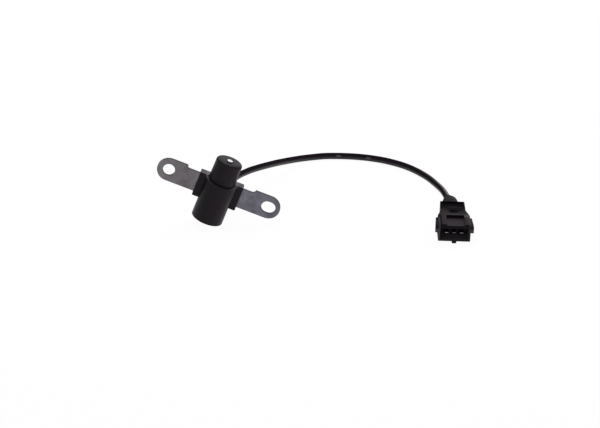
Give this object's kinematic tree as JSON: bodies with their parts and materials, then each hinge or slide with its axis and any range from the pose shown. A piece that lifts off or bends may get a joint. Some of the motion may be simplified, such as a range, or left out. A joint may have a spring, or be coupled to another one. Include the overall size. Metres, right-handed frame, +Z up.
{
  "type": "crankshaft position sensor",
  "caption": "Engine speed sensor: moulded head with a pole tip, clamped by a slotted steel strap, on a round cable with a flat plug connector.",
  "frame": {"origin": "on the floor plane below the middle of the strap, at the bottom centre of the head's box without the cable and plug", "axes": "+X along the strap towards its slotted ear, as it lies leaning; +Y back across the strap's thickness, the way the cable leaves; +Z up"},
  "size_m": [0.2183, 0.1446, 0.0491],
  "materials": {
    "black_moulding": "satin",
    "potting_compound": "matte",
    "dull_steel": "satin",
    "bare_steel": "satin",
    "magnet_grey": "satin",
    "bobbin_nylon": "matte",
    "enamelled_copper": "gloss",
    "yellow_film": "gloss",
    "black_rubber": "matte",
    "cable_jacket": "satin",
    "tinned_brass": "satin",
    "seal_silicone": "matte",
    "red_insulation": "satin",
    "blue_insulation": "satin",
    "screen_wire": "satin"
  },
  "bodies": {
    "root": {"sensor_housing": "black_moulding", "rear_plug": "potting_compound", "mounting_strap": "dull_steel", "pole_piece": "bare_steel", "magnet": "magnet_grey", "coil_bobbin": "bobbin_nylon", "coil_winding": "enamelled_copper", "winding_tape": "yellow_film", "coil_pin_return": "bare_steel", "coil_pin_signal": "bare_steel", "head_lead_return": "blue_insulation", "head_lead_signal": "red_insulation", "cable_gland": "black_rubber", "sensor_cable": "cable_jacket", "connector_shell": "black_moulding", "contact_left": "tinned_brass", "contact_centre": "tinned_brass", "contact_right": "tinned_brass", "contact_lock": "bobbin_nylon", "wire_seal": "seal_silicone", "plug_lead_signal": "red_insulation", "plug_lead_return": "blue_insulation", "plug_lead_screen": "screen_wire", "connector_boot": "black_rubber"}
  },
  "joints": []
}
